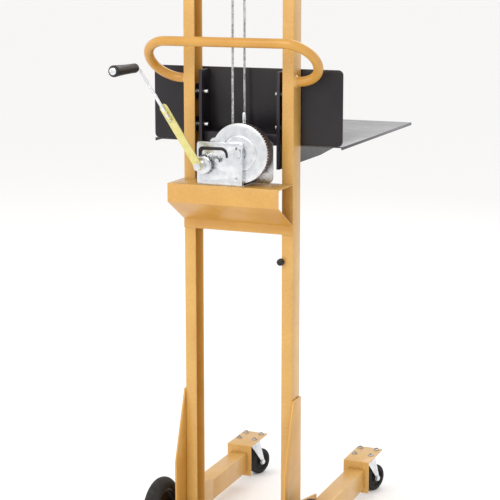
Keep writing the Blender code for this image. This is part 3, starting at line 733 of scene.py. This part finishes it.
# %% The folded flanges and the pins' heads
finished(box_between("winch_side_flange", (high.x - SHEET, low.y - 0.010, low.z + 0.004),
                     (high.x, low.y + 0.0005, high.z - 0.010)), "frame", bright_zinc, slot="winch_bracket")
finished(box_between("winch_top_flange", (low.x + 0.006, low.y - 0.007, high.z - SHEET),
                     (high.x - 0.012, low.y + 0.0005, high.z)), "frame", bright_zinc, slot="winch_bracket")
for name, node, axis_point, reach in (("drum", "drum_shaft", gear_axis, 0.0095),
                                      ("pawl", "pawl_pin", middle("pawl_pin"), 0.0055)):
    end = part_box(node)[0].y
    clip = [(0.0001, -0.0030), (reach - 0.001, -0.0030), (reach, -0.0020), (reach, 0.0), (0.0001, 0.0)]
    finished(turned(f"{name}_pin_head", clip, (axis_point.x, end - 0.0003, axis_point.z), ALONG, 40), "frame",
             bright_zinc, slot="drum_shaft")
print("flanges and pin heads made")

# %% [markdown]
# ## Wire rope
#
# A wire rope is six strands laid round a core. Each strand is a helix round the rope's own path, so its
# points come from a formula: walk along the path, and turn round it once in each lay, here 36 mm. The
# carriage's run goes straight from the frame at its top to the carriage at its foot.


# %% Twisted strands along a path
def frames_along(path):
    """For each point of a path, the distance so far and two directions across it."""
    made, run = [], 0.0
    for i, point in enumerate(path):
        ahead = path[min(i + 1, len(path) - 1)] - path[max(i - 1, 0)]
        if i:
            run += (point - path[i - 1]).length
        side_way = Vector((1, 0, 0))
        made.append((point, run, side_way, ahead.normalized().cross(side_way)))
    return made


def laid_rope(name, path, radius=0.003, lay=0.036, strands=6):
    runs = []
    strand = radius * 0.36
    for k in range(strands):
        run = []
        for point, along, one, two in frames_along(path):
            a = 2 * math.pi * (along / lay + k / strands)
            run.append(point + (one * math.cos(a) + two * math.sin(a)) * (radius - strand))
        runs.append(run)
    runs.append([point.copy() for point in path])
    return bar_along(name, runs, strand, 1)


def straight(start, end, step=0.003):
    count = max(2, round((end - start).length / step))
    return [start.lerp(end, i / count) for i in range(count + 1)]


low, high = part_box("drum_rope")
rope_x = (low.x + high.x) / 2
rear_y = (low.y + high.y) / 2
run = straight(Vector((rope_x, rear_y, low.z)), Vector((rope_x, rear_y, high.z)))
finished(laid_rope("laid_rope_to_drum", run), "frame", rope_wire, "drum_rope", slot="drum_rope")

over = [Vector((rope_x, sheave.y - ROPE_REACH * math.cos(a), sheave.z + ROPE_REACH * math.sin(a)))
        for a in [math.pi * i / 48 for i in range(49)]]
finished(laid_rope("laid_rope_over_sheave", over), "frame", rope_wire, "sheave_rope", slot="sheave_rope")

low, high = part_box("carriage_rope")
front_y = (low.y + high.y) / 2
foot, head = Vector((rope_x, front_y, low.z)), Vector((rope_x, front_y, high.z))
hanging = laid_rope("laid_rope_to_carriage", straight(foot, head))
hanging.data.materials.append(rope_wire)
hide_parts("carriage_rope")
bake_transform(hanging)

# %% The rope's swaged end on the carriage
low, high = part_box("rope_anchor")
seat = [(0.0033, high.z - low.z), (0.0046, high.z - low.z), (0.0058, high.z - low.z - 0.004),
        (0.0060, 0.030), (0.0052, 0.029), (0.0052, 0.026), (0.0060, 0.025), (0.0060, 0.017), (0.0088, 0.013),
        (0.0090, 0.001), (0.0085, 0.0), (0.0012, 0.0), (0.0012, high.z - low.z - 0.001)]
finished(turned("swaged_rope_end", seat, (rope_x, front_y, low.z), (0, 0, 1), 48), "carriage", bright_zinc,
         "rope_anchor", slot="rope_anchor")
knob_low, knob_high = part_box("stop_knob")
knob = middle("stop_knob")
reach = (knob_high.y - knob_low.y) / 2
ball = [(0.0001, reach), (0.0078, reach), (0.0088, reach - 0.002), (0.0090, reach - 0.006),
        (0.0085, 0.003 - reach), (0.0065, 0.001 - reach), (0.0030, -reach), (0.0001, -reach)]
finished(turned("domed_stop_knob", ball, knob, ALONG, 48), "frame", moulded_abs, "stop_knob", slot="stop_knob")

# %% [markdown]
# ## Bolts
#
# Hexagon bolts hold the casters under the toe brackets and the winch on its shelf. They are all the same
# shape, so one Geometry Nodes tree puts a head and a washer on every point of a mesh. The tree ends in
# Realize Instances and Set Material, and the result is turned into a plain mesh.


# %% A Geometry Nodes tree for bolt heads
def bolt_tree(across, height, material):
    tree = bpy.data.node_groups.new("bolt_heads", "GeometryNodeTree")
    tree.interface.new_socket("Geometry", in_out="INPUT", socket_type="NodeSocketGeometry")
    size = tree.interface.new_socket("Head Radius", in_out="INPUT", socket_type="NodeSocketFloat")
    tall = tree.interface.new_socket("Head Height", in_out="INPUT", socket_type="NodeSocketFloat")
    size.default_value = across
    tall.default_value = height
    tree.interface.new_socket("Geometry", in_out="OUTPUT", socket_type="NodeSocketGeometry")
    source = add(tree, "NodeGroupInput")
    head = add(tree, "GeometryNodeMeshCylinder", {"Radius": source.outputs[1], "Depth": source.outputs[2]},
               in_Vertices=6)
    wide = add(tree, "ShaderNodeMath", {0: source.outputs[1]}, operation="MULTIPLY")
    wide.inputs[1].default_value = 1.35
    thin = add(tree, "ShaderNodeMath", {0: source.outputs[2]}, operation="MULTIPLY")
    thin.inputs[1].default_value = 0.3
    washer = add(tree, "GeometryNodeMeshCylinder", {"Radius": wide.outputs[0], "Depth": thin.outputs[0]},
                 in_Vertices=28)
    half = add(tree, "ShaderNodeMath", {0: source.outputs[2]}, operation="MULTIPLY")
    half.inputs[1].default_value = 0.80
    up = add(tree, "ShaderNodeCombineXYZ", {"Z": half.outputs[0]})
    lifted = add(tree, "GeometryNodeTransform", {"Geometry": head.outputs["Mesh"],
                                                 "Translation": up.outputs[0]})
    low_half = add(tree, "ShaderNodeMath", {0: source.outputs[2]}, operation="MULTIPLY")
    low_half.inputs[1].default_value = 0.15
    seat = add(tree, "ShaderNodeCombineXYZ", {"Z": low_half.outputs[0]})
    seated = add(tree, "GeometryNodeTransform", {"Geometry": washer.outputs["Mesh"],
                                                 "Translation": seat.outputs[0]})
    bolt = add(tree, "GeometryNodeJoinGeometry")
    tree.links.new(lifted.outputs[0], bolt.inputs[0])
    tree.links.new(seated.outputs[0], bolt.inputs[0])
    normal = add(tree, "GeometryNodeInputNormal")
    facing = add(tree, "FunctionNodeAlignRotationToVector", {"Vector": normal.outputs[0]}, axis="Z")
    copies = add(tree, "GeometryNodeInstanceOnPoints", {"Points": source.outputs[0],
                                                        "Instance": bolt.outputs[0],
                                                        "Rotation": facing.outputs[0]})
    real = add(tree, "GeometryNodeRealizeInstances", {"Geometry": copies.outputs[0]})
    painted = add(tree, "GeometryNodeSetMaterial", {"Geometry": real.outputs[0]})
    painted.inputs["Material"].default_value = material
    out = add(tree, "NodeGroupOutput")
    tree.links.new(painted.outputs[0], out.inputs[0])
    return tree


BOLT_RADIUS, BOLT_HEIGHT = 0.0058, 0.0040
BOLT_TREE = bolt_tree(BOLT_RADIUS, BOLT_HEIGHT, bright_zinc)


def bolts(name, spots, facing, body, slot):
    """Bolt heads at spots. Each spot is a tiny triangle whose normal gives the head's direction, and each of
    its three points gets a head, 0.1 mm apart."""
    way = Vector(facing).normalized()
    one = way.orthogonal().normalized() * 0.0001
    two = way.cross(one.normalized()) * 0.0001
    bm = bmesh.new()
    for spot in spots:
        corners = [bm.verts.new(Vector(spot) + offset) for offset in (one, two - one * 0.5, -two - one * 0.5)]
        bm.faces.new(corners)
    obj = object_from(name, bm)
    make = obj.modifiers.new("bolts", "NODES")
    make.node_group = BOLT_TREE
    sockets = BOLT_TREE.interface.items_tree
    identifiers = {item.name: item.identifier for item in sockets if item.in_out == "INPUT"}
    make[identifiers["Head Radius"]] = BOLT_RADIUS
    make[identifiers["Head Height"]] = BOLT_HEIGHT
    return finished(shade(plain_mesh(obj)), body, bright_zinc, slot=slot)


# %% Bolts on the toe brackets and the winch base
for side, sign in SIDES:
    low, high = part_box(f"{side}_toe_bracket")
    swivel = Vector(joints[f"{side}_caster_swivel"]["pos_m"])
    corners = [(swivel.x + dx, swivel.y + dy, high.z + 0.0001)
               for dx in (-0.024, 0.024) for dy in (-0.026, 0.026)]
    bolts(f"{side}_caster_bolts", corners, (0, 0, 1), "frame", f"{side}_toe_bracket")
low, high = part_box("winch_bracket")
top = low.z + 0.0031
bolts("winch_base_bolts", [(low.x + 0.014, low.y + 0.030, top)], (0, 0, 1), "frame", "winch_bracket")

# %% [markdown]
# ## Floor, light and camera
#
# A flat pale floor lies under the truck, and a pale world lights it evenly from all round. The large key lamp
# stands behind the truck, on the camera's side of it. A weaker one stands to the left and a third in front
# of the truck. The camera stands behind the truck and to its right, at eye height.

# %% Studio
floor_mat, tree, shader, place = start_material("pale_studio_floor", "#F7F6F5", 0.85)
bm = bmesh.new()
bmesh.ops.create_circle(bm, cap_ends=True, segments=96, radius=60.0)
floor = object_from("studio_floor", bm)
floor.data.materials.append(floor_mat)


def lamp(name, spot, target, size, power, colour="#FFFFFF"):
    light = bpy.data.lights.new(name, "AREA")
    light.shape = "RECTANGLE"
    light.size = light.size_y = size
    light.energy = power
    light.color = linear(colour)[:3]
    obj = bpy.data.objects.new(name, light)
    obj.location = spot
    obj.rotation_euler = (Vector(target) - Vector(spot)).to_track_quat("-Z", "Y").to_euler()
    scene.collection.objects.link(obj)
    return obj


lamp("key_lamp", (-0.4, -3.8, 3.4), (0, 0, 0.9), 2.2, 70, "#FFF6E6")
lamp("left_lamp", (-3.2, -1.4, 2.0), (0, 0, 0.9), 2.0, 16, "#F4F7FF")
lamp("back_lamp", (0.5, 3.0, 3.2), (0, 0, 1.0), 2.5, 45)
world = bpy.data.worlds.new("studio")
world.use_nodes = True
world.node_tree.nodes["Background"].inputs["Color"].default_value = linear("#FFFFFF")
world.node_tree.nodes["Background"].inputs["Strength"].default_value = 1.0
scene.world = world
scene.view_settings.view_transform = "Standard"

# %% Camera
mast_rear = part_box("left_upright")[0].y
VIEW_AZIMUTH = math.radians(22.83)
VIEW_TILT = math.radians(9.87)
VIEW_DISTANCE = 3.571
VIEW_SIDESTEP = 0.030
VIEW_HEIGHT = 1.508
FOCAL_SHARE = 2.914
camera = bpy.data.objects.new("camera", bpy.data.cameras.new("camera"))
toward = Vector((-math.sin(VIEW_AZIMUTH), math.cos(VIEW_AZIMUTH), 0))
rightward = Vector((math.cos(VIEW_AZIMUTH), math.sin(VIEW_AZIMUTH), 0))
camera.location = Vector((0, mast_rear, VIEW_HEIGHT)) - toward * VIEW_DISTANCE + rightward * VIEW_SIDESTEP
look = toward * math.cos(VIEW_TILT) - Vector((0, 0, math.sin(VIEW_TILT)))
camera.rotation_euler = look.to_track_quat("-Z", "Y").to_euler()
camera.data.sensor_width = 36
camera.data.lens = 36 * FOCAL_SHARE
camera.data.shift_y = -0.08
scene.collection.objects.link(camera)
scene.camera = camera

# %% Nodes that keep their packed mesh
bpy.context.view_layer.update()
replaced = {name for name in nodes if nodes[name].hide_render}
print("nodes that keep their packed mesh:", sorted(set(nodes) - replaced))
